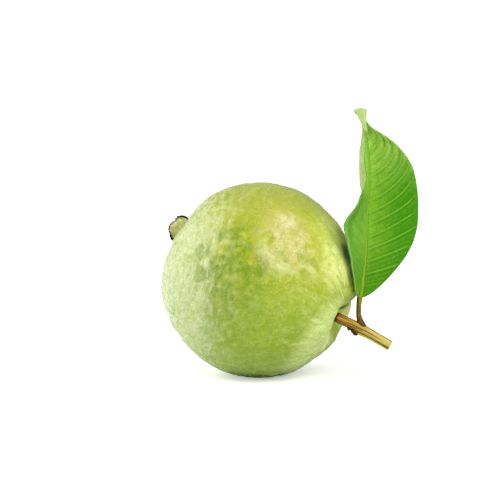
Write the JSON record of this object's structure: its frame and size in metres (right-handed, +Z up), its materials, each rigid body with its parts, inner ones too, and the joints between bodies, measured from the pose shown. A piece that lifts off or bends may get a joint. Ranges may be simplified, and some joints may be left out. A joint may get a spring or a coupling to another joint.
{
  "type": "guava",
  "caption": "Whole pale green guava lying on its side, with its dried crown, a cut twig and one leaf that stands up folded.",
  "frame": {"origin": "middle of the small flat spot under the fruit, on the surface that it rests on", "axes": "+Z up, +X towards the twig and the leaf, -Y towards the front that the picture shows"},
  "size_m": [0.1141, 0.0872, 0.1204],
  "materials": {
    "guava_skin": "thin waxy fruit skin, satin, over firm flesh",
    "dried_sepal": "dry, papery, matt",
    "dried_stamen": "dry, matt",
    "twig_bark": "smooth young bark, satin",
    "petiole_skin": "smooth green bark, satin",
    "leaf": "leathery leaf, satin above, matt below"
  },
  "bodies": {
    "root": {"fruit": "guava_skin", "calyx": "dried_sepal", "stamens": "dried_stamen", "twig": "twig_bark", "petiole": "petiole_skin", "leaf_blade": "leaf"}
  },
  "joints": []
}
